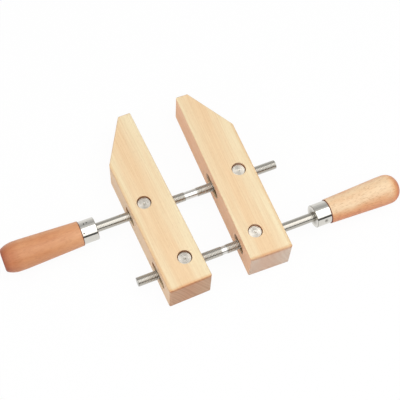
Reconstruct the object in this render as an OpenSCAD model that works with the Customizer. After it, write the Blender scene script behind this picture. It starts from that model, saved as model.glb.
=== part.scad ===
// Wooden handscrew clamp: two maple jaws, four swivelling barrel nuts,
// two spindles threaded left and right handed, two ferruled wooden handles.
// Millimetres, +Z up. The jaws lie flat on Z = 0, +Y points to their noses,
// and X = 0 is the plane midway between them.

/* [Jaws] */
// Length of each jaw from tail to nose
jaw_length = 203.2; // [150:0.1:300]
// Width of a jaw from inner to outer face
jaw_width = 44.2; // [35:0.1:60]
// Height of a jaw
jaw_thickness = 35; // [28:0.1:45]
// Width left at the tip of the nose
nose_width = 13.5; // [8:0.1:20]
// Length of the tapered nose
taper_length = 51.5; // [30:0.5:80]
// Radius of the eased edges
edge_round = 1.5; // [0.5:0.1:2]
// Radius of the upright corners
corner_ease = 2.4; // [2:0.1:5]
// Radius of the shoulder where the taper starts
shoulder_round = 9; // [2:0.5:20]

/* [Setting] */
// Gap between the jaws at the middle spindle
gap = 45.6; // [19:0.1:114]
// Turn of each jaw about its middle nut, noses apart
jaw_tilt = 1.53; // [-5:0.01:5]
// Widest gap that the clamp opens to
widest_gap = 114.3; // [100:0.1:130]

/* [Barrel nuts] */
// Distance of the middle nut from the tail of the jaw
middle_nut_along = 98.8; // [90:0.1:120]
// Distance of the middle nut from the inner face
middle_nut_in = 28.5; // [22:0.1:31]
// Distance of the end nut from the tail of the jaw
end_nut_along = 28.3; // [20:0.1:40]
// Distance of the end nut from the inner face
end_nut_in = 16.4; // [13:0.1:20]
// Diameter of a barrel nut
nut_diameter = 14.5; // [13.5:0.1:18]
// Depth of a nut's end below the face of the jaw
nut_recess = 2.4; // [0.5:0.1:3]
// Chamfer on the ends of a nut
nut_chamfer = 0.9; // [0.5:0.1:2.5]
// Radius of the turning centre in a nut's end
nut_centre_radius = 1.1; // [0.5:0.1:2]
// Depth of the turning centre in a nut's end
nut_centre_depth = 0.9; // [0.3:0.1:2]
// Gap all round between a nut and its hole in the jaw
nut_clearance = 0.1; // [0.02:0.01:0.1]

/* [Spindle slots] */
// Height of the slot that a spindle swings in
slot_height = 11.4; // [10.5:0.1:14]
// Angle that a slot flares to each side of the spindle
slot_flare = 17.5; // [10:0.5:20]

/* [Spindles] */
// Outside diameter of the thread
thread_diameter = 9.5; // [8:0.01:10]
// Diameter of the plain middle
plain_diameter = 8.6; // [6:0.1:9]
// Plain length between the threads of the middle spindle
middle_plain_length = 13.2; // [5:0.1:20]
// Plain length between the threads of the end spindle
end_plain_length = 6.9; // [5:0.1:20]
// Offset of the plain middle toward the handle, middle spindle
middle_plain_offset = 1.4; // [0:0.1:6]
// Offset of the plain middle toward the handle, end spindle
end_plain_offset = 4.5; // [0:0.1:6]
// Reach of the middle spindle's tip past the midplane
middle_tip_reach = 93.6; // [90:0.1:110]
// Reach of the end spindle's tip past the midplane
end_tip_reach = 86.4; // [80:0.1:110]
// Chamfer on a spindle's tip
tip_chamfer = 1; // [0.5:0.1:2]
// Gap all round between a spindle and its nut
spindle_clearance = 0.06; // [0.02:0.01:0.1]

/* [Ferrules] */
// Outside diameter of a ferrule
ferrule_diameter = 23.6; // [20:0.1:28]
// Length of a ferrule
ferrule_length = 15.4; // [10:0.1:25]
// Thickness of a ferrule's wall and end
ferrule_wall = 1; // [0.6:0.1:2]
// Radius of a ferrule's drawn end
ferrule_round = 0.8; // [0.3:0.1:1.5]
// Room left between ferrule and jaw at the widest gap
ferrule_room = 1.5; // [1:0.05:10]
// Diameter of the punched marks that stake a ferrule
stake_diameter = 1.5; // [0.8:0.1:2.5]
// Depth of the punched marks
stake_depth = 0.4; // [0.2:0.1:0.6]
// Angle round and distance along of each mark on the middle ferrule
middle_stakes = [[14, 11], [16, 8], [-33, 13.8]];
// Angle round and distance along of the mark on the end ferrule
end_stakes = [[250, 9.2]];
// Gap between the pieces of a handle
handle_clearance = 0.05; // [0.02:0.01:0.1]

/* [Handles] */
// Length of the wood past the ferrule
handle_length = 80; // [60:0.5:120]
// Diameter of the wood next to the ferrule
handle_butt = 25.4; // [25:0.1:30]
// Largest diameter of the wood
handle_diameter = 30.3; // [28:0.1:40]
// Length and depth of the rounding at the end of the middle handle
middle_handle_round = [14, 6.2];
// Length and depth of the rounding at the end of the end handle
end_handle_round = [11.6, 8.6];
// Radius where the rounding meets the flat end of a handle
flat_end_round = 3.5; // [2:0.1:5]
// Length of the straight part before the rounded end
handle_straight = 7; // [2:0.5:15]
// Depth of the spindle in the wood past the ferrule
shank_depth = 42; // [20:0.5:60]

/* [Hidden] */
$fn = 96;
over = 1;
middle_height = jaw_thickness / 2;
inner_x = -middle_nut_in;
outer_x = jaw_width - middle_nut_in;
tip_x = inner_x + nose_width;
tail_y = -middle_nut_along;
nose_y = jaw_length - middle_nut_along;
shoulder_y = nose_y - taper_length;
end_nut_x = end_nut_in - middle_nut_in;
end_nut_y = end_nut_along - middle_nut_along;
profile = [[inner_x, tail_y], [outer_x, tail_y], [outer_x, shoulder_y], [tip_x, nose_y], [inner_x, nose_y]];
corner_round = [corner_ease, corner_ease, shoulder_round, corner_ease, corner_ease];

// Where the nuts stand once the jaws are tilted
tail_reach = (outer_x - corner_ease) * sin(jaw_tilt) - (tail_y + corner_ease) * cos(jaw_tilt) + corner_ease;
nose_reach = (nose_y - corner_ease) * cos(jaw_tilt) - (inner_x + corner_ease) * sin(jaw_tilt) + corner_ease;
middle_x = gap / 2 + middle_nut_in;
middle_y = (tail_reach - nose_reach) / 2;
end_x = middle_x + end_nut_x * cos(jaw_tilt) + end_nut_y * sin(jaw_tilt);
end_y = middle_y - end_nut_x * sin(jaw_tilt) + end_nut_y * cos(jaw_tilt);
nut_height = jaw_thickness - 2 * nut_recess;
nut_radius = nut_diameter / 2;

// Handle sizes, measured along the spindle from the ferrule's end
thread_radius = thread_diameter / 2;
ferrule_reach = widest_gap / 2 + jaw_width + ferrule_room;
ferrule_bore = ferrule_diameter / 2 - ferrule_wall;
shank_radius = thread_radius + handle_clearance;
tenon_radius = ferrule_bore - handle_clearance;
butt_start = ferrule_length + handle_clearance;
handle_end = butt_start + handle_length;
shank_end = ferrule_length + shank_depth;

maple = [0.93, 0.82, 0.64];
turned_wood = [0.87, 0.62, 0.44];
steel = [0.75, 0.75, 0.76];

function unit(v) = v / norm(v);
function half_corner(a, b, c) = acos(unit(a - b) * unit(c - b)) / 2;
function arc_centre(a, b, c, r) = b + unit(unit(a - b) + unit(c - b)) * r / sin(half_corner(a, b, c));
function arc_start(a, b, c, r) = b + unit(a - b) * r / tan(half_corner(a, b, c));
function before(i) = profile[(i + len(profile) - 1) % len(profile)];
function after(i) = profile[(i + 1) % len(profile)];

// Outline of a jaw seen from above, its corners rounded
module jaw_outline() {
    count = len(profile);
    polygon([for (i = [0:count - 1], turn = [0, 1])
        turn == 0 ? arc_start(before(i), profile[i], after(i), corner_round[i])
                  : arc_start(after(i), profile[i], before(i), corner_round[i])]);
    for (i = [0:count - 1])
        translate(arc_centre(before(i), profile[i], after(i), corner_round[i]))
            circle(r = corner_round[i]);
}

// Waste outside one rounded edge, in section
module edge_waste() {
    translate([-edge_round, -edge_round])
        difference() {
            square(edge_round + over);
            circle(r = edge_round);
        }
}

// Waste along the top edge that runs from p to q
module edge_cut(p, q) {
    along = q - p;
    translate(q)
        rotate([0, 0, atan2(-along[0], along[1])])
            rotate([90, 0, 0])
                translate([0, 0, -over])
                    linear_extrude(height = norm(along) + 2 * over)
                        edge_waste();
}

module jaw_edges() {
    for (i = [0:len(profile) - 1])
        edge_cut(profile[i], after(i));
}

// Hourglass slot that lets a spindle swing about its nut
module spindle_slot() {
    reach = 2 * jaw_width;
    side = reach * tan(slot_flare);
    for (turn = [-slot_flare, slot_flare])
        rotate([0, 0, turn])
            rotate([0, 90, 0])
                cylinder(h = 2 * reach, d = slot_height, center = true);
    linear_extrude(height = slot_height, center = true) {
        polygon([[0, 0], [reach, -side], [reach, side]]);
        polygon([[0, 0], [-reach, side], [-reach, -side]]);
    }
}

module nut_hole() {
    cylinder(h = jaw_thickness + 2 * over, r = nut_radius + nut_clearance, center = true);
}

// Right jaw, with the axis of its middle nut at the origin
module jaw() {
    difference() {
        linear_extrude(height = jaw_thickness)
            jaw_outline();
        translate([0, 0, jaw_thickness])
            jaw_edges();
        mirror([0, 0, 1])
            jaw_edges();
        for (place = [[0, 0, middle_height], [end_nut_x, end_nut_y, middle_height]])
            translate(place) {
                nut_hole();
                spindle_slot();
            }
    }
}

module jaw_right() {
    color(maple)
        translate([middle_x, middle_y, 0])
            rotate([0, 0, -jaw_tilt])
                jaw();
}

module jaw_left() {
    color(maple)
        mirror([1, 0, 0])
            translate([middle_x, middle_y, 0])
                rotate([0, 0, -jaw_tilt])
                    jaw();
}

// Barrel nut standing in a jaw, its cross hole along X
module barrel_nut(x, y) {
    rim = nut_radius - nut_chamfer;
    color(steel)
        translate([x, y, nut_recess])
            difference() {
                rotate_extrude()
                    polygon([[0, nut_centre_depth], [nut_centre_radius, 0], [rim, 0],
                        [nut_radius, nut_chamfer], [nut_radius, nut_height - nut_chamfer],
                        [rim, nut_height], [nut_centre_radius, nut_height],
                        [0, nut_height - nut_centre_depth]]);
                translate([0, 0, nut_height / 2])
                    rotate([0, 90, 0])
                        cylinder(h = 2 * nut_diameter, r = thread_radius + spindle_clearance, center = true);
            }
}

module middle_left_nut() {
    barrel_nut(-middle_x, middle_y);
}

module middle_right_nut() {
    barrel_nut(middle_x, middle_y);
}

module end_left_nut() {
    barrel_nut(-end_x, end_y);
}

module end_right_nut() {
    barrel_nut(end_x, end_y);
}

// Spindle along Z, its midplane at Z = 0 and its handle toward +Z
module spindle(plain_length, plain_offset, tip_reach) {
    plain_radius = plain_diameter / 2;
    plain_low = plain_offset - plain_length / 2;
    plain_high = plain_offset + plain_length / 2;
    step = thread_radius - plain_radius;
    back = ferrule_reach + shank_end;
    rotate_extrude()
        polygon([[0, -tip_reach], [thread_radius - tip_chamfer, -tip_reach],
            [thread_radius, -tip_reach + tip_chamfer], [thread_radius, plain_low - step],
            [plain_radius, plain_low], [plain_radius, plain_high],
            [thread_radius, plain_high + step], [thread_radius, back], [0, back]]);
}

// Cup pressed over the end of a handle, its closed end at Z = 0
module ferrule(stakes) {
    radius = ferrule_diameter / 2;
    difference() {
        rotate_extrude()
            difference() {
                union() {
                    translate([0, ferrule_round])
                        square([radius, ferrule_length - ferrule_round]);
                    square([radius - ferrule_round, ferrule_length]);
                    translate([radius - ferrule_round, ferrule_round])
                        circle(r = ferrule_round);
                }
                translate([-over, ferrule_wall])
                    square([ferrule_bore + over, ferrule_length]);
                translate([-over, -over])
                    square([shank_radius + over, ferrule_length]);
            }
        for (stake = stakes)
            rotate([0, 0, stake[0]])
                translate([radius - stake_depth, 0, stake[1]])
                    rotate([0, 90, 0])
                        cylinder(h = stake_depth + over, d = stake_diameter);
    }
}

// Piece of a disc between a chord or corner and the arc from angle a to angle b
module arc_piece(centre, radius, a, b, corners) {
    outer = [for (turn = [a, b]) centre + 2 * radius * [cos(turn), sin(turn)]];
    intersection() {
        translate(centre)
            circle(r = radius);
        polygon(concat(corners, outer));
    }
}

// Rounded end of a handle in section: a wide arc, then a small one beside the flat end
module rounded_end(rounding, start, radius) {
    spread = 2 * atan((rounding[1] - flat_end_round) / (rounding[0] - flat_end_round));
    reach = (rounding[0] - flat_end_round) / sin(spread);
    wide = reach + flat_end_round;
    wide_centre = [radius - wide, start];
    small_centre = wide_centre + reach * [cos(spread), sin(spread)];
    meeting = wide_centre + wide * [cos(spread), sin(spread)];
    polygon([[0, start], [radius, start], meeting, small_centre + [0, flat_end_round], [0, handle_end]]);
    arc_piece(wide_centre, wide, 0, spread, [meeting, [radius, start]]);
    arc_piece(small_centre, flat_end_round, spread, 90, [small_centre]);
}

// Turned handle with its tenon inside the ferrule
module handle(rounding) {
    butt_radius = handle_butt / 2;
    radius = handle_diameter / 2;
    round_start = handle_end - rounding[0];
    belly = round_start - handle_straight;
    rotate_extrude()
        difference() {
            union() {
                translate([0, ferrule_wall + handle_clearance])
                    square([tenon_radius, butt_start]);
                polygon([[0, butt_start], [butt_radius - edge_round / 2, butt_start],
                    [butt_radius, butt_start + edge_round / 2], [radius, belly],
                    [radius, round_start], [0, round_start]]);
                rounded_end(rounding, round_start, radius);
            }
            square([shank_radius, shank_end + handle_clearance]);
        }
}

// Puts a piece drawn along Z on the middle spindle's axis, handle toward -X
module on_middle_axis() {
    translate([0, middle_y, middle_height])
        rotate([0, -90, 0])
            children();
}

// Puts a piece drawn along Z on the end spindle's axis, handle toward +X
module on_end_axis() {
    translate([0, end_y, middle_height])
        rotate([0, 90, 0])
            children();
}

module middle_spindle() {
    color(steel)
        on_middle_axis()
            spindle(middle_plain_length, middle_plain_offset, middle_tip_reach);
}

module end_spindle() {
    color(steel)
        on_end_axis()
            spindle(end_plain_length, end_plain_offset, end_tip_reach);
}

module middle_ferrule() {
    color(steel)
        on_middle_axis()
            translate([0, 0, ferrule_reach])
                ferrule(middle_stakes);
}

module end_ferrule() {
    color(steel)
        on_end_axis()
            translate([0, 0, ferrule_reach])
                ferrule(end_stakes);
}

module middle_handle() {
    color(turned_wood)
        on_middle_axis()
            translate([0, 0, ferrule_reach])
                handle(middle_handle_round);
}

module end_handle() {
    color(turned_wood)
        on_end_axis()
            translate([0, 0, ferrule_reach])
                handle(end_handle_round);
}

jaw_left();
jaw_right();
middle_left_nut();
middle_right_nut();
end_left_nut();
end_right_nut();
middle_spindle();
end_spindle();
middle_ferrule();
end_ferrule();
middle_handle();
end_handle();
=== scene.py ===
"""Looks for the wooden handscrew clamp.

The jaws, nuts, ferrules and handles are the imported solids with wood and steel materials.
The two spindles are replaced by meshes that carry real left- and right-hand threads.
"""
import math

import bmesh
import bpy
from mathutils import Matrix, Vector


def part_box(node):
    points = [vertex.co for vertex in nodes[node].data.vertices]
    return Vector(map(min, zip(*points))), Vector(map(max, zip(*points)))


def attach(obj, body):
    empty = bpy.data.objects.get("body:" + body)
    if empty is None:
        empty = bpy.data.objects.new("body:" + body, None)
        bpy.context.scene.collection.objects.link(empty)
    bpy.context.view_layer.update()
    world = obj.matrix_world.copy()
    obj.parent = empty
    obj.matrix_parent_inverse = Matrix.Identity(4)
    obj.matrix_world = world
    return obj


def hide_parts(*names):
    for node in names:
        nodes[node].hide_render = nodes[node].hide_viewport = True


MM = 0.001

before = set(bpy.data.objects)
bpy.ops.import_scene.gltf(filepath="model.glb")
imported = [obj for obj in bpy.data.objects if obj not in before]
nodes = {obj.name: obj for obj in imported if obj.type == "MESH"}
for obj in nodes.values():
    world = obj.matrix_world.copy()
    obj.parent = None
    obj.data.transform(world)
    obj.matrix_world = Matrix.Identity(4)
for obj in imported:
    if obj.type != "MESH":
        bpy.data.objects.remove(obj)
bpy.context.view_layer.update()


def box_mm(node):
    """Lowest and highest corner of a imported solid, in millimetres."""
    return tuple(Vector(corner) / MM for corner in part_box(node))


def centre_mm(node):
    """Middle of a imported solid's box, in millimetres."""
    low, high = box_mm(node)
    return (low + high) / 2


# Small helpers for shader nodes

def put(tree, kind, inputs=None, **settings):
    """Adds one shader node, sets its options, and links or sets its inputs."""
    made = tree.nodes.new("ShaderNode" + kind)
    for name, value in settings.items():
        setattr(made, name, value)
    for socket, source in (inputs or {}).items():
        if isinstance(source, bpy.types.NodeSocket):
            tree.links.new(source, made.inputs[socket])
        else:
            made.inputs[socket].default_value = source
    return made


def math_node(tree, operation, first, second=0.0):
    """One Math node; returns its output."""
    return put(tree, "Math", {0: first, 1: second}, operation=operation).outputs[0]


def times(tree, first, second):
    """Product of two values."""
    return math_node(tree, "MULTIPLY", first, second)


def average(tree, first, second):
    """Mean of two values."""
    return math_node(tree, "ADD", times(tree, first, 0.5), times(tree, second, 0.5))


def vector_node(tree, operation, first, second=(0, 0, 0)):
    """One Vector Math node; returns its vector output."""
    return put(tree, "VectorMath", {0: first, 1: second}, operation=operation).outputs[0]


def length_of(tree, vector):
    """Length of a vector."""
    return put(tree, "VectorMath", {0: vector}, operation="LENGTH").outputs["Value"]


def part_of(tree, vector, axis):
    """Part of a vector along X, Y or Z."""
    return put(tree, "SeparateXYZ", {"Vector": vector}).outputs[axis]


def size_along(tree, vector, axis):
    """Size of a vector's part along X, Y or Z, without its sign."""
    return math_node(tree, "ABSOLUTE", part_of(tree, vector, axis))


def span(tree, value, low, high, low_result=0.0, high_result=1.0):
    """Maps low..high to low_result..high_result and holds the ends."""
    made = put(tree, "MapRange", {
        "Value": value, "From Min": low, "From Max": high, "To Min": low_result, "To Max": high_result,
    })
    return made.outputs["Result"]


def ramp(tree, factor, stops):
    """Colour ramp through (position, colour) stops; returns its colour output."""
    made = put(tree, "ValToRGB", {"Fac": factor})
    elements = made.color_ramp.elements
    while len(elements) < len(stops):
        elements.new(0.5)
    for element, (position, colour) in zip(elements, stops):
        element.position = position
        element.color = (*colour, 1)
    return made.outputs["Color"]


def grey(level):
    """The same level in red, green and blue, or along X, Y and Z."""
    return (level, level, level)


def noise(tree, vector, stretch, detail, roughness=0.5):
    """Noise stretched by a factor on each axis; returns its factor output."""
    made = put(tree, "TexNoise", {
        "Vector": vector_node(tree, "MULTIPLY", vector, stretch),
        "Scale": 1.0,
        "Detail": detail,
        "Roughness": roughness,
    })
    return made.outputs["Fac"]


def mix_colour(tree, blend, factor, first, second):
    """Mix node for colours; returns its colour output."""
    made = tree.nodes.new("ShaderNodeMix")
    made.data_type = "RGBA"
    made.blend_type = blend
    sockets = (made.inputs["Factor"], made.inputs[6], made.inputs[7])
    for socket, source in zip(sockets, (factor, first, second)):
        if isinstance(source, bpy.types.NodeSocket):
            tree.links.new(source, socket)
        elif socket == sockets[0]:
            socket.default_value = source
        else:
            socket.default_value = (*source, 1)
    return made.outputs[2]


def tinted(tree, colour, amount, tint):
    """Multiplies a colour by a tint, as far as amount says."""
    return mix_colour(tree, "MULTIPLY", amount, colour, tint)


def new_material(name):
    """Material with a Principled shader; returns the material, its tree and the shader."""
    made = bpy.data.materials.new(name)
    made.use_nodes = True
    return made, made.node_tree, made.node_tree.nodes["Principled BSDF"]


def bump(tree, shader, height, distance, strength=1.0):
    """Bumps a shader's normal by a height field; distance is in metres."""
    made = put(tree, "Bump", {"Height": height, "Distance": distance, "Strength": strength})
    tree.links.new(made.outputs["Normal"], shader.inputs["Normal"])


def dress(node, material):
    """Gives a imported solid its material."""
    nodes[node].data.materials.clear()
    nodes[node].data.materials.append(material)


# Wood

# Stretches are the scale of a noise per millimetre across, along and up the grain,
# and bands are the part of a noise's range that is spread from none to all
RING_DRIFT_STRETCH = (0.02, 0.005, 0.02)
RING_DRIFT = (8, 0, 8)
RING_STRETCH = (0.9, 0.012, 1)
RING_BAND = (0.38, 0.62)
FIBRE_STRETCH = (1.9, 0.05, 1.9)
FIBRE_BAND = (0.3, 0.7)
PORE_STRETCH = (2.0, 0.25, 2.0)
PORE_BAND = (0.56, 0.70)
GRAIN_TINT = (0.80, 0.66, 0.52)
PORE_TINT = (0.60, 0.46, 0.36)
END_LINE_TINT = (0.68, 0.56, 0.48)
END_LINE_SHARE = 0.75
# How far a face is turned sideways or endways, from where its tint starts to where it is full
SIDE_FACING = (0.6, 0.95)
END_FACING = (0.2, 0.7)
# What smooth and fibrous places add to the wood's own roughness
ROUGHNESS_SPREAD = (-0.05, 0.07)
GRAIN_RELIEF = 0.06 * MM
GRAIN_RELIEF_STRENGTH = 0.6
# Height of the dark lines, where a pore's is -1
LINE_HEIGHT = -0.6


def wood(name, turn, origin, pith, tone, tones, grain, pores, roughness, seed, side_shade_tint, end_grain_and_shade_tint, extras):
    """Straight-grained wood. After turn, in radians about Z, its grain runs along Y.

    origin and pith, the centre of the growth rings in the turned X and Z, are in
    millimetres. tone is a function that places the three tones, and extras are functions
    that change the colour by the place in the wood. grain and pores say how strong the
    dark lines and the pores are, and seed moves the patterns along the grain.
    """
    made, tree, shader = new_material(name)
    coordinates = put(tree, "TexCoord")
    placed = put(tree, "Mapping", {
        "Vector": coordinates.outputs["Object"],
        "Rotation": (0, 0, turn),
        "Scale": grey(1 / MM),
        "Location": -(Matrix.Rotation(turn, 3, "Z") @ Vector(origin)),
    }).outputs["Vector"]
    facing = put(tree, "Mapping", {
        "Vector": coordinates.outputs["Normal"],
        "Rotation": (0, 0, turn),
    }, vector_type="NORMAL").outputs["Vector"]
    seeded = vector_node(tree, "ADD", placed, (0, seed, 0))
    colour = ramp(tree, tone(tree, placed, seeded), list(zip((0.0, 0.5, 1.0), tones)))

    # Growth rings bent a little by slow noise, as lines of uneven width
    slow = vector_node(tree, "MULTIPLY", seeded, RING_DRIFT_STRETCH)
    drift = put(tree, "TexNoise", {"Vector": slow, "Scale": 1.0, "Detail": 2.0}).outputs["Color"]
    drift = vector_node(tree, "MULTIPLY", vector_node(tree, "SUBTRACT", drift, grey(0.5)), RING_DRIFT)
    bent = vector_node(tree, "ADD", placed, drift)
    from_pith = vector_node(tree, "SUBTRACT", bent, (pith[0], 0, pith[1]))
    radius = length_of(tree, vector_node(tree, "MULTIPLY", from_pith, (1, 0, 1)))
    ring_space = put(tree, "CombineXYZ", {"X": radius, "Y": part_of(tree, seeded, "Y")}).outputs["Vector"]
    lines = span(tree, noise(tree, ring_space, RING_STRETCH, detail=2.0, roughness=0.6), *RING_BAND)

    # Fibres and short pores drawn out along the grain
    fibres = span(tree, noise(tree, seeded, FIBRE_STRETCH, detail=3.0, roughness=0.65), *FIBRE_BAND)
    fleck = span(tree, noise(tree, seeded, PORE_STRETCH, detail=1.0), *PORE_BAND)
    dark = average(tree, lines, fibres)
    colour = tinted(tree, colour, times(tree, dark, grain), GRAIN_TINT)
    colour = tinted(tree, colour, times(tree, fleck, pores), PORE_TINT)

    # The upright sides get a tint of painted shade, and the end grain a tint that is partly its own darker
    # colour and partly painted shade
    shaded_side = span(tree, size_along(tree, facing, "X"), *SIDE_FACING)
    colour = tinted(tree, colour, shaded_side, side_shade_tint)
    endways = span(tree, size_along(tree, facing, "Y"), *END_FACING)
    colour = tinted(tree, colour, endways, end_grain_and_shade_tint)
    end_lines = times(tree, times(tree, lines, endways), END_LINE_SHARE * grain)
    colour = tinted(tree, colour, end_lines, END_LINE_TINT)
    for extra in extras:
        colour = extra(tree, placed, colour)
    tree.links.new(colour, shader.inputs["Base Color"])

    smoothest, roughest = (roughness + change for change in ROUGHNESS_SPREAD)
    tree.links.new(span(tree, fibres, 0, 1, smoothest, roughest), shader.inputs["Roughness"])
    height = math_node(tree, "SUBTRACT", times(tree, dark, LINE_HEIGHT), fleck)
    bump(tree, shader, height, GRAIN_RELIEF, GRAIN_RELIEF_STRENGTH)
    return made


HEART_DRIFT_STRETCH = (0.03, 0.007, 0.03)
HEART_DRIFT = 9
HEART_STREAK_STRETCH = (0.14, 0.009, 0.14)
HEART_STREAK = 0.25
HEART_CORE = 3
STREAK_BAND = (0.3, 0.7)


def heart_band(centre, width):
    """Tones of a jaw: a warm band of uneven width down its middle, paler to both sides."""

    def tone(tree, placed, seeded):
        slow = noise(tree, seeded, HEART_DRIFT_STRETCH, detail=2.0)
        drift = span(tree, slow, 0, 1, -HEART_DRIFT, HEART_DRIFT)
        across = math_node(tree, "ADD", part_of(tree, placed, "X"), drift)
        off = math_node(tree, "ABSOLUTE", math_node(tree, "SUBTRACT", across, centre))
        patches = noise(tree, seeded, HEART_STREAK_STRETCH, detail=2.0)
        streaks = span(tree, patches, *STREAK_BAND, -HEART_STREAK, HEART_STREAK)
        return math_node(tree, "ADD", span(tree, off, HEART_CORE, width, 1.0, 0.0), streaks)

    return tone


HANDLE_STREAK_STRETCH = (0.16, 0.012, 0.16)
BLOTCH_STRETCH = (0.3, 0.09, 0.3)


def mottled(tree, placed, seeded):
    """Tones of a turned handle: long streaks broken by soft blotches."""
    streaks = span(tree, noise(tree, seeded, HANDLE_STREAK_STRETCH, detail=2.0), *STREAK_BAND)
    blotches = span(tree, noise(tree, seeded, BLOTCH_STRETCH, detail=2.0, roughness=0.6), *STREAK_BAND)
    return average(tree, streaks, blotches)


# Painted shade in a bore: depth in millimetres at which it starts to darken, and at which it is darkest
BORE_SHADE_DEPTHS = (0.5, 2.2)
BORE_SHADE_SHARE = 0.85
BORE_SHADE_BROWN = (0.34, 0.17, 0.08)


def painted_bore_shade(inner, outer, tail, front, thickness):
    """Paints shade into the slots and nut holes: places well inside a jaw and behind its taper."""
    low, high = sorted((inner, outer))

    def shade(tree, placed, colour):
        across, along, up = (part_of(tree, placed, axis) for axis in "XYZ")
        depth = math_node(tree, "SUBTRACT", across, low)
        for inside in (
            math_node(tree, "SUBTRACT", high, across),
            math_node(tree, "SUBTRACT", along, tail),
            math_node(tree, "SUBTRACT", front, along),
            up,
            math_node(tree, "SUBTRACT", thickness, up),
        ):
            depth = math_node(tree, "MINIMUM", depth, inside)
        part = span(tree, depth, *BORE_SHADE_DEPTHS, 0.0, BORE_SHADE_SHARE)
        return mix_colour(tree, "MIX", part, colour, BORE_SHADE_BROWN)

    return shade


# Distance from an edge in millimetres up to which its tint is full, and at which it ends
EDGE_BAND_REACH = (1.3, 3.6)


def worn_and_shaded_edge(edge, across, tint):
    """Tints a narrow band along an edge of a jaw: partly wear, partly painted shade along the arris.

    edge is a point on it in millimetres, and across is 1 for each axis that leads off it.
    """

    def shade(tree, placed, colour):
        from_edge = vector_node(tree, "MULTIPLY", vector_node(tree, "SUBTRACT", placed, edge), across)
        near = span(tree, length_of(tree, from_edge), *EDGE_BAND_REACH, 1.0, 0.0)
        return tinted(tree, colour, near, tint)

    return shade


UNEVEN_STRETCH = (0.05, 0.03, 0.05)
UNEVEN_RISE = 7


def redder_and_shaded_below(full, none, tint):
    """Tints wood from all of the tint at one height to none at another, along an uneven line: on the
    handles, partly redder wood and partly painted shade on the underside.
    """

    def shade(tree, placed, colour):
        slow = noise(tree, placed, UNEVEN_STRETCH, detail=2.0)
        uneven = span(tree, slow, 0, 1, -UNEVEN_RISE, UNEVEN_RISE)
        up = math_node(tree, "ADD", part_of(tree, placed, "Z"), uneven)
        return tinted(tree, colour, span(tree, up, full, none, 1.0, 0.0), tint)

    return shade


def tint_along(none, full, tint):
    """Tints a handle from none at one place along it to all of the tint at another.

    Both places are millimetres from the clamp's midplane.
    """

    def shade(tree, placed, colour):
        return tinted(tree, colour, span(tree, size_along(tree, placed, "Y"), none, full), tint)

    return shade


# Jaws

JAW_TILT = math.radians(1.53)
JAW_WIDTH = 44.2
JAW_THICKNESS = 35.0
NUT_IN = 28.5
NUT_ALONG = 98.8
TAPER_START = 50.0
HEART_WIDTH = 22
ARRIS_WEAR_AND_SHADE_TINT = (0.93, 0.82, 0.72)
MAPLE = ((0.905, 0.78, 0.525), (0.885, 0.71, 0.46), (0.876, 0.652, 0.40))


def maple(name, nut, side, pith, heart, seed, side_shade_tint, end_grain_and_shade_tint, edge_wear_and_shade_tint):
    """Jaw wood, placed from the jaw's middle nut. side is 1 for the right jaw and -1 for the left."""
    centre = centre_mm(nut)
    outer = side * (JAW_WIDTH - NUT_IN)
    return wood(
        name,
        turn=side * JAW_TILT,
        origin=(centre.x, centre.y, 0),
        pith=pith,
        tone=heart_band(side * heart, HEART_WIDTH),
        tones=MAPLE,
        grain=0.55,
        pores=0.16,
        roughness=0.5,
        seed=seed,
        side_shade_tint=side_shade_tint,
        end_grain_and_shade_tint=end_grain_and_shade_tint,
        extras=[
            # Painted shade in the slots and nut holes
            painted_bore_shade(-side * NUT_IN, outer, -NUT_ALONG, TAPER_START, JAW_THICKNESS),
            # Bands of wear and painted edge shade along the tail's top edge and the outer arris
            worn_and_shaded_edge((0, -NUT_ALONG, JAW_THICKNESS), (0, 1, 1), edge_wear_and_shade_tint),
            worn_and_shaded_edge((outer, 0, JAW_THICKNESS), (1, 0, 1), ARRIS_WEAR_AND_SHADE_TINT),
        ],
    )


dress("jaw_left", maple(
    "maple_left",
    nut="middle_left_nut",
    side=-1,
    pith=(-199, -98),
    heart=-3,
    seed=40,
    side_shade_tint=(0.89, 0.765, 0.75),
    end_grain_and_shade_tint=(0.68, 0.50, 0.46),
    edge_wear_and_shade_tint=(0.92, 0.74, 0.60),
))
dress("jaw_right", maple(
    "maple_right",
    nut="middle_right_nut",
    side=1,
    pith=(216, 100),
    heart=-9,
    seed=270,
    side_shade_tint=(0.99, 0.735, 0.67),
    end_grain_and_shade_tint=(0.84, 0.80, 0.98),
    edge_wear_and_shade_tint=(0.88, 0.70, 0.56),
))


# Handles

QUARTER = math.pi / 2
HANDLE_END_TINT = (0.78, 0.56, 0.46)
PLAIN_TINT = (1, 1, 1)
BUTT_TINT = (0.26, 0.17, 0.13)
# Distance from the ferrule in millimetres up to which its dark edge is full, and at which it ends
BUTT_EDGE = (0.5, 1.2)
# Where each handle meets its ferrule and where it ends, in millimetres from the midplane
MIDDLE_BUTT = -box_mm("middle_ferrule")[0].x
END_BUTT = box_mm("end_ferrule")[1].x
MIDDLE_REACH = -box_mm("middle_handle")[0].x
END_REACH = box_mm("end_handle")[1].x


def handle_wood(name, node, butt, pith, tones, grain, pores, seed, extras):
    """Wood of a turned handle, with a dark edge beside its ferrule."""
    dark_butt = tint_along(butt + BUTT_EDGE[1], butt + BUTT_EDGE[0], BUTT_TINT)
    return wood(
        name,
        turn=QUARTER,
        origin=(0, centre_mm(node).y, 0),
        pith=pith,
        tone=mottled,
        tones=tones,
        grain=grain,
        pores=pores,
        roughness=0.4,
        seed=seed,
        side_shade_tint=PLAIN_TINT,
        end_grain_and_shade_tint=HANDLE_END_TINT,
        extras=[dark_butt, *extras],
    )


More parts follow.
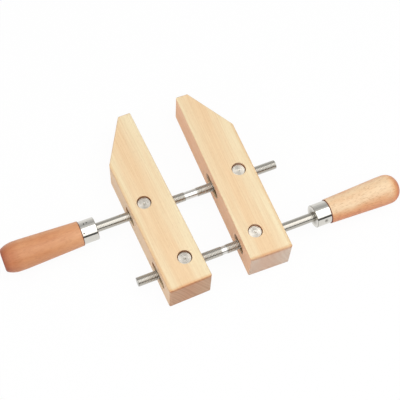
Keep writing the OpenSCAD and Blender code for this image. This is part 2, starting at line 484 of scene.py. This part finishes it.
dress("middle_handle", handle_wood(
    "handle_wood_middle",
    node="middle_handle",
    butt=MIDDLE_BUTT,
    pith=(60, 40),
    tones=((0.72, 0.345, 0.165), (0.665, 0.30, 0.135), (0.61, 0.25, 0.105)),
    grain=0.2,
    pores=0.3,
    seed=90,
    extras=[
        # Redder wood and painted shade on the underside
        redder_and_shaded_below(full=8, none=26, tint=(0.88, 0.74, 0.62)),
        # Painted highlight: paler toward the ferrule, where the handle's sheen is brightest
        tint_along(none=MIDDLE_BUTT + 40, full=MIDDLE_BUTT + 5, tint=(1.09, 1.19, 1.28)),
        tint_along(none=MIDDLE_REACH - 20, full=MIDDLE_REACH - 9, tint=(0.84, 0.70, 0.66)),
        tint_along(none=MIDDLE_REACH - 7, full=MIDDLE_REACH - 1, tint=(0.80, 0.68, 0.64)),
    ],
))
dress("end_handle", handle_wood(
    "handle_wood_end",
    node="end_handle",
    butt=END_BUTT,
    pith=(-60, -70),
    tones=((0.89, 0.685, 0.45), (0.86, 0.625, 0.39), (0.825, 0.54, 0.315)),
    grain=0.3,
    pores=0.6,
    seed=510,
    extras=[
        # Redder wood and painted shade on the underside
        redder_and_shaded_below(full=24, none=29.5, tint=(0.91, 0.66, 0.53)),
        redder_and_shaded_below(full=18, none=25, tint=(0.92, 0.68, 0.57)),
        tint_along(none=END_REACH - 13, full=END_REACH - 6, tint=(0.97, 0.72, 0.54)),
    ],
))


# Nuts

# Painted light and shade: each nut gets its own level of the one steel
NUT_LIGHT_LEVELS = {
    "middle_left_nut": 0.83,
    "middle_right_nut": 0.92,
    "end_left_nut": 0.77,
    "end_right_nut": 0.89,
}
# Share of a nut's level in red, green and blue, and share of that in its dull places
NUT_WARMTH = (1.0, 0.945, 0.84)
NUT_DULL = 0.76
NUT_ROUGHNESS = (0.3, 0.42)
NUT_BRUSHING = 0.75
# On steel a noise's stretch is its scale per metre, and stops are places in its range
SMUDGE_STRETCH = grey(260.0)
SMUDGE_STOPS = (0.34, 0.6)
SMUDGE_SHIFT = 0.8
TURNING_PITCH = 1.6
# Radius in millimetres of the dimple's bottom and rim, and its depth beside the turning marks
DIMPLE_RADII = (0.3, 2.0)
DIMPLE_DEPTH = 4
TURNING_RELIEF = 0.02 * MM


def turned_steel(name, diameter, level):
    """Lathe-faced steel with a centre dimple; its turning marks run round the piece's own upright axis."""
    made, tree, shader = new_material(name)
    coordinates = put(tree, "TexCoord")
    across = vector_node(tree, "SUBTRACT", coordinates.outputs["Generated"], (0.5, 0.5, 0))
    radius = length_of(tree, vector_node(tree, "MULTIPLY", across, (diameter, diameter, 0)))
    smudges = noise(tree, coordinates.outputs["Object"], SMUDGE_STRETCH, detail=3.0)
    uneven = math_node(tree, "ADD", radius, span(tree, smudges, 0, 1, -SMUDGE_SHIFT, SMUDGE_SHIFT))
    rings = math_node(tree, "SINE", times(tree, uneven, 2 * math.pi / TURNING_PITCH))
    dimple = span(tree, radius, *DIMPLE_RADII, -DIMPLE_DEPTH, 0)
    bright = tuple(share * level for share in NUT_WARMTH)
    dull = tuple(NUT_DULL * part for part in bright)
    colour = ramp(tree, smudges, list(zip(SMUDGE_STOPS, (dull, bright))))
    tree.links.new(colour, shader.inputs["Base Color"])
    shader.inputs["Metallic"].default_value = 1.0
    shader.inputs["Anisotropic"].default_value = NUT_BRUSHING
    around = put(tree, "Tangent", direction_type="RADIAL", axis="Z")
    tree.links.new(around.outputs["Tangent"], shader.inputs["Tangent"])
    tree.links.new(span(tree, smudges, 0, 1, *NUT_ROUGHNESS), shader.inputs["Roughness"])
    bump(tree, shader, math_node(tree, "ADD", rings, dimple), TURNING_RELIEF)
    return made


for node, level in NUT_LIGHT_LEVELS.items():
    low, high = box_mm(node)
    dress(node, turned_steel(node + "_steel", high.x - low.x, level))


# Ferrules

SCRATCH_STRETCH = (2600, 160, 160)
SCRATCH_STOPS = (0.3, 0.75)
SCRATCH_RELIEF = 0.006 * MM
SCRATCH_STRENGTH = 0.4
FERRULE_BRIGHT = (0.71, 0.69, 0.64)
FERRULE_DULL = (0.63, 0.61, 0.56)
FERRULE_ROUGHNESS = (0.07, 0.13)
# How far a ferrule's face is turned along its axis where the wall ends and the end face starts
END_FACE = (0.85, 0.95)
# Depths in millimetres below a ferrule's outside where a punch mark starts and is full
MARK_STARTS = (0.1, 0.3)
# Depths where it begins to fade and is gone
MARK_FADES = (0.5, 0.7)
MARK_SHADE_TINT = (0.12, 0.11, 0.10)
# Radius in millimetres of the painted shade round a spindle, where it is full and where it ends
SPINDLE_SHADE_RADII = (4.8, 9.5)
SPINDLE_SHADE_TINT = (0.42, 0.40, 0.36)
# Distances in millimetres from a mark where its pressed ring starts and is full
PRESSED_STARTS = (0.9, 1.4)
# Distances where it begins to fade and is gone
PRESSED_FADES = (1.5, 2.1)
PRESSED_SHADE_TINT = (0.40, 0.38, 0.35)


def drawn_steel(name, bright, dull, roughness):
    """Bright steel with faint scratches round the X axis; returns the material, tree, shader and colour.

    roughness is that of the smoothest and of the most scratched places.
    """
    made, tree, shader = new_material(name)
    place = put(tree, "TexCoord").outputs["Object"]
    scratches = noise(tree, place, SCRATCH_STRETCH, detail=3.0)
    colour = ramp(tree, scratches, list(zip(SCRATCH_STOPS, (bright, dull))))
    tree.links.new(colour, shader.inputs["Base Color"])
    shader.inputs["Metallic"].default_value = 1.0
    tree.links.new(span(tree, scratches, 0, 1, *roughness), shader.inputs["Roughness"])
    bump(tree, shader, scratches, SCRATCH_RELIEF, SCRATCH_STRENGTH)
    return made, tree, shader, colour


def staked_steel(name, centre, radius, ringed):
    """Polished ferrule steel, with punch marks darkened by painted shade where the wall is pressed in;
    sizes in millimetres.

    ringed holds the places of the marks that a wider ring of pressed metal surrounds, darkened by painted
    shade.
    """
    made, tree, shader, colour = drawn_steel(name, FERRULE_BRIGHT, FERRULE_DULL, FERRULE_ROUGHNESS)
    coordinates = put(tree, "TexCoord")
    place = vector_node(tree, "MULTIPLY", coordinates.outputs["Object"], grey(1 / MM))
    from_axis = vector_node(tree, "MULTIPLY", vector_node(tree, "SUBTRACT", place, centre), (0, 1, 1))
    off_axis = length_of(tree, from_axis)
    lengthways = size_along(tree, coordinates.outputs["Normal"], "X")

    # Painted shade in the punch marks: the outer places of the wall that lie below its outside
    pressed_in = span(tree, off_axis, radius - MARK_STARTS[1], radius - MARK_STARTS[0], 1.0, 0.0)
    in_wall = span(tree, off_axis, radius - MARK_FADES[1], radius - MARK_FADES[0])
    on_wall = span(tree, lengthways, *END_FACE, 1.0, 0.0)
    mark_shade = times(tree, times(tree, pressed_in, on_wall), in_wall)
    colour = tinted(tree, colour, mark_shade, MARK_SHADE_TINT)

    # Painted shade darkens the end face round the spindle
    on_end = span(tree, lengthways, *END_FACE)
    spindle_shade = times(tree, on_end, span(tree, off_axis, *SPINDLE_SHADE_RADII, 1.0, 0.0))
    colour = tinted(tree, colour, spindle_shade, SPINDLE_SHADE_TINT)

    # Painted shade in a ring round each such mark
    for stake in ringed:
        away = length_of(tree, vector_node(tree, "SUBTRACT", place, stake))
        rim_shade = times(tree, span(tree, away, *PRESSED_STARTS), span(tree, away, *PRESSED_FADES, 1.0, 0.0))
        colour = tinted(tree, colour, rim_shade, PRESSED_SHADE_TINT)
    tree.links.new(colour, shader.inputs["Base Color"])
    return made


ferrule_box = box_mm("middle_ferrule")
FERRULE_RADIUS = (ferrule_box[1].y - ferrule_box[0].y) / 2
END_STAKE_ALONG = 9.2
END_STAKE_RISE = math.radians(20)
END_STAKE = Vector((
    box_mm("end_ferrule")[0].x + END_STAKE_ALONG,
    centre_mm("end_ferrule").y - FERRULE_RADIUS * math.cos(END_STAKE_RISE),
    centre_mm("end_ferrule").z + FERRULE_RADIUS * math.sin(END_STAKE_RISE),
))
for node, ringed in (("middle_ferrule", ()), ("end_ferrule", (END_STAKE,))):
    dress(node, staked_steel(node + "_steel", centre_mm(node), FERRULE_RADIUS, ringed))


# Threaded spindles

PITCH = 25.4 / 16
SIDES = 28
# Places along one pitch of the rounded, rolled thread, with the share of its height at each
THREAD_FORM = ((0, 0.0), (1 / 6, 0.25), (1 / 3, 0.75), (1 / 2, 1.0), (2 / 3, 0.75), (5 / 6, 0.25))
THREAD_FADE = 0.9 * PITCH
# The thread beside the handle is worn nearly smooth, from this far out along the spindle
WORN_FROM = 62.0
WORN_FADE = 4.0
WORN_SHARE = 0.7
CREST = 9.5 / 2
ROOT = 4.52
PLAIN = 8.6 / 2
TIP_CHAMFER = 0.4
TIP_RADIUS = CREST - TIP_CHAMFER
# How far the thread runs on inside the ferrule
HIDDEN_REACH = 1.5
MERGE = 2e-6
SHARP = math.radians(40)
# Steel of the thread's roots, flanks and crests, by the share of its height; the darker roots are painted
# shade
THREAD_SHADE_TONES = ((0.0, (0.40, 0.38, 0.34)), (0.5, (0.53, 0.505, 0.45)), (0.95, (0.62, 0.59, 0.525)))
THREAD_WEAR_STRETCH = grey(420.0)
THREAD_WEAR = ((0.3, grey(1.0)), (0.75, grey(0.86)))
THREAD_ROUGHNESS = (0.16, 0.26)


def thread_steel(name):
    """Rolled thread: bright crests, and roots darkened by painted shade. The piece's own X is its axis."""
    made, tree, shader = new_material(name)
    place = put(tree, "TexCoord").outputs["Object"]
    radius = length_of(tree, vector_node(tree, "MULTIPLY", place, (0, 1 / MM, 1 / MM)))
    bright = ramp(tree, span(tree, radius, ROOT, CREST), THREAD_SHADE_TONES)
    wear = noise(tree, place, THREAD_WEAR_STRETCH, detail=3.0)
    worn = ramp(tree, wear, THREAD_WEAR)
    tree.links.new(tinted(tree, bright, 1.0, worn), shader.inputs["Base Color"])
    shader.inputs["Metallic"].default_value = 1.0
    tree.links.new(span(tree, wear, 0, 1, *THREAD_ROUGHNESS), shader.inputs["Roughness"])
    return made


plain_steel = drawn_steel(
    "spindle_plain_steel",
    bright=(0.74, 0.72, 0.68),
    dull=(0.66, 0.64, 0.60),
    roughness=(0.16, 0.26),
)[0]
worn_steel = drawn_steel(
    "spindle_worn_steel",
    bright=(0.50, 0.475, 0.425),
    dull=(0.43, 0.41, 0.365),
    roughness=(0.16, 0.24),
)[0]
SPINDLE_LOOKS = (thread_steel("spindle_steel"), plain_steel, worn_steel)
THREADED_LOOK, PLAIN_LOOK, WORN_LOOK = range(len(SPINDLE_LOOKS))


def threaded_spindle(name, node, toward_handle, ferrule_face, plain_length, plain_offset):
    """Builds a spindle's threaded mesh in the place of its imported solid.

    Places along it are millimetres from the clamp's midplane toward the handle. The
    thread is right-handed beyond the plain middle and left-handed on the handle's side.
    """
    low, high = box_mm(node)
    centre = (low + high) / 2
    tip, back = sorted((toward_handle * low.x, toward_handle * high.x))
    plain_low = plain_offset - plain_length / 2
    plain_high = plain_offset + plain_length / 2
    reach = ferrule_face + HIDDEN_REACH
    full_root = tip + ROOT - TIP_RADIUS

    axis = Vector((toward_handle, 0, 0))
    side = Vector((0, 1, 0))
    up = axis.cross(side)
    made = bmesh.new()

    def point(along, turn, radius):
        angle = 2 * math.pi * turn
        outward = side * math.cos(angle) + up * math.sin(angle)
        return made.verts.new((axis * along + outward * radius) * MM)

    def ring(along, radius):
        return [point(along, k / SIDES, radius) for k in range(SIDES)]

    def join(first, second, look):
        for k in range(SIDES):
            after = (k + 1) % SIDES
            made.faces.new((first[k], first[after], second[after], second[k])).material_index = look

    def thread_radius(along, share, start, stop):
        rise = min(1.0, (along - start) / THREAD_FADE, (stop - along) / THREAD_FADE)
        worn = min(1.0, max(0.0, (along - WORN_FROM) / WORN_FADE)) * WORN_SHARE
        radius = ROOT + (CREST - ROOT) * (1 - (1 - share) * (1 - worn)) * rise
        return min(radius, TIP_RADIUS + along - tip)

    def thread(start, stop, hand):
        rows = []
        for turn in range(-2, int((stop - start) / PITCH) + 3):
            for place, share in THREAD_FORM:
                row = []
                for k in range(SIDES):
                    along = start + PITCH * (turn + place + hand * k / SIDES)
                    along = min(stop, max(start, along))
                    row.append(point(along, k / SIDES, thread_radius(along, share, start, stop)))
                rows.append(row)
        shift = hand * len(THREAD_FORM)
        for m in range(len(rows) - 1):
            for k in range(SIDES - 1):
                made.faces.new((rows[m][k], rows[m][k + 1], rows[m + 1][k + 1], rows[m + 1][k]))
            if 0 <= m + shift and m + 1 + shift < len(rows):
                made.faces.new((rows[m][-1], rows[m + shift][0], rows[m + 1 + shift][0], rows[m + 1][-1]))

    tip_ring = ring(tip, TIP_RADIUS)
    made.faces.new(tuple(reversed(tip_ring)))
    join(tip_ring, ring(full_root, ROOT), THREADED_LOOK)
    thread(full_root, plain_low, 1)
    first_neck, last_neck = ring(plain_low, PLAIN), ring(plain_high, PLAIN)
    join(ring(plain_low, ROOT), first_neck, PLAIN_LOOK)
    join(first_neck, last_neck, PLAIN_LOOK)
    join(last_neck, ring(plain_high, ROOT), PLAIN_LOOK)
    thread(plain_high, reach, -1)
    shank, last = ring(reach, CREST), ring(back, CREST)
    join(ring(reach, ROOT), shank, THREADED_LOOK)
    join(shank, last, THREADED_LOOK)
    made.faces.new(tuple(last))
    bmesh.ops.remove_doubles(made, verts=made.verts, dist=MERGE)
    for face in made.faces:
        if axis.dot(face.calc_center_median()) / MM > WORN_FROM + WORN_FADE:
            face.material_index = WORN_LOOK

    mesh = bpy.data.meshes.new(name)
    made.to_mesh(mesh)
    made.free()
    for polygon in mesh.polygons:
        polygon.use_smooth = True
    mesh.set_sharp_from_angle(angle=SHARP)
    for look in SPINDLE_LOOKS:
        mesh.materials.append(look)
    piece = bpy.data.objects.new(name, mesh)
    piece.location = Vector((0, centre.y, centre.z)) * MM
    bpy.context.scene.collection.objects.link(piece)
    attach(piece, node)
    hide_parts(node)


threaded_spindle(
    "middle_spindle_threads",
    "middle_spindle",
    toward_handle=-1,
    ferrule_face=-box_mm("middle_ferrule")[1].x,
    plain_length=13.2,
    plain_offset=1.4,
)
threaded_spindle(
    "end_spindle_threads",
    "end_spindle",
    toward_handle=1,
    ferrule_face=box_mm("end_ferrule")[0].x,
    plain_length=5.2,
    plain_offset=4.5,
)


# Floor, light and camera

# Radius and height of the floor's rings in metres: flat, then a low cove all round
FLOOR_RINGS = ((4.0, 0.0), (16.0, 0.0), (18.0, 0.1), (20.0, 0.4), (22.0, 1.15), (23.5, 2.25))
FLOOR_SIDES = 96
FLOOR_DROP = 0.3 * MM
FLOOR_COLOUR = (0.88, 0.88, 0.88, 1)
FLOOR_ROUGHNESS = 0.9
FLOOR_WHITE = 0.95


def floor_material():
    """Pale floor that keeps the clamp's shadow and looks white to the camera and in metal."""
    made, tree, shader = new_material("pale_floor")
    shader.inputs["Base Color"].default_value = FLOOR_COLOUR
    shader.inputs["Roughness"].default_value = FLOOR_ROUGHNESS
    path = put(tree, "LightPath")
    seen = math_node(tree, "MAXIMUM", path.outputs["Is Camera Ray"], path.outputs["Is Glossy Ray"])
    seen = math_node(tree, "MAXIMUM", seen, path.outputs["Is Transmission Ray"])
    glow = put(tree, "Emission", {"Color": (1, 1, 1, 1), "Strength": 1.0})
    share = times(tree, seen, FLOOR_WHITE)
    both = put(tree, "MixShader", {0: share, 1: shader.outputs[0], 2: glow.outputs[0]})
    tree.links.new(both.outputs[0], tree.nodes["Material Output"].inputs["Surface"])
    return made


def make_floor():
    """Round floor with a cove, made of rings."""
    turns = [2 * math.pi * k / FLOOR_SIDES for k in range(FLOOR_SIDES)]
    points = [(radius * math.cos(turn), radius * math.sin(turn), height - FLOOR_DROP)
              for radius, height in FLOOR_RINGS for turn in turns]
    faces = [tuple(range(FLOOR_SIDES))]
    for ring in range(len(FLOOR_RINGS) - 1):
        for k in range(FLOOR_SIDES):
            first = ring * FLOOR_SIDES + k
            after = ring * FLOOR_SIDES + (k + 1) % FLOOR_SIDES
            faces.append((first, first + FLOOR_SIDES, after + FLOOR_SIDES, after))
    mesh = bpy.data.meshes.new("floor")
    mesh.from_pydata(points, [], faces)
    mesh.materials.append(floor_material())
    floor = bpy.data.objects.new("floor", mesh)
    bpy.context.scene.collection.objects.link(floor)


# Height of a direction, from 0 at the horizon to 1 overhead, and the studio's grey there
FRONT_GREYS = ((0.0, 0.06), (0.30, 0.06), (0.44, 0.5), (0.7, 0.5))
REAR_GREYS = ((0.0, 0.88), (0.4, 0.68), (0.75, 0.5), (0.9, 0.78))
# Depth of a direction, from -1 in front to 1 behind, where the front ends and the rear starts
FRONT_TO_REAR = (-0.25, 0.05)


def make_world():
    """Soft studio: dark low down in front, pale low down behind, and grey above."""
    world = bpy.data.worlds.new("studio")
    bpy.context.scene.world = world
    world.use_nodes = True
    tree = world.node_tree
    background = tree.nodes["Background"]
    direction = put(tree, "TexCoord").outputs["Generated"]
    height = part_of(tree, direction, "Z")
    front, rear = (ramp(tree, height, [(place, grey(level)) for place, level in greys])
                   for greys in (FRONT_GREYS, REAR_GREYS))
    behind = span(tree, part_of(tree, direction, "Y"), *FRONT_TO_REAR)
    tree.links.new(mix_colour(tree, "MIX", behind, front, rear), background.inputs["Color"])
    background.inputs["Strength"].default_value = 1.0


def soft_light(name, place, target, width, height, level):
    """Soft box that looks as bright as level; places, width and height in metres."""
    data = bpy.data.lights.new(name, "AREA")
    data.shape = "RECTANGLE"
    data.size = width
    data.size_y = height
    data.energy = level * math.pi * width * height
    lamp = bpy.data.objects.new(name, data)
    lamp.location = place
    lamp.rotation_euler = (Vector(target) - Vector(place)).to_track_quat("-Z", "Y").to_euler()
    lamp.visible_camera = False
    bpy.context.scene.collection.objects.link(lamp)


EYE = Vector((-201.46, -423.02, 839.84)) * MM
TARGET = Vector((5.25, -12.65, 17.5)) * MM
ROLL = math.radians(4.02)
LENS = 83.89
SENSOR = 36
NEAREST = 0.01


def make_camera():
    """Camera at the photograph's place, turned a little about its own view line."""
    data = bpy.data.cameras.new("camera")
    data.sensor_width = SENSOR
    data.lens = LENS
    data.clip_start = NEAREST
    camera = bpy.data.objects.new("camera", data)
    aim = (TARGET - EYE).to_track_quat("-Z", "Y").to_matrix().to_4x4()
    camera.matrix_world = Matrix.Translation(EYE) @ aim @ Matrix.Rotation(ROLL, 4, "Z")
    bpy.context.scene.collection.objects.link(camera)
    bpy.context.scene.camera = camera


make_floor()
make_world()
soft_light("overhead", (0.55, -0.375, 1.4), (0.55, -0.375, 0), width=1.6, height=1.25, level=1.6)
soft_light("front", (0.55, -1.825, 1.4), (0.55, -1.825, 0), width=1.6, height=1.65, level=1.25)
soft_light("left", (-1.75, -0.5, 1.15), (0, 0, 0), width=1.9, height=2.1, level=1.22)
make_camera()
bpy.context.scene.view_settings.view_transform = "Standard"
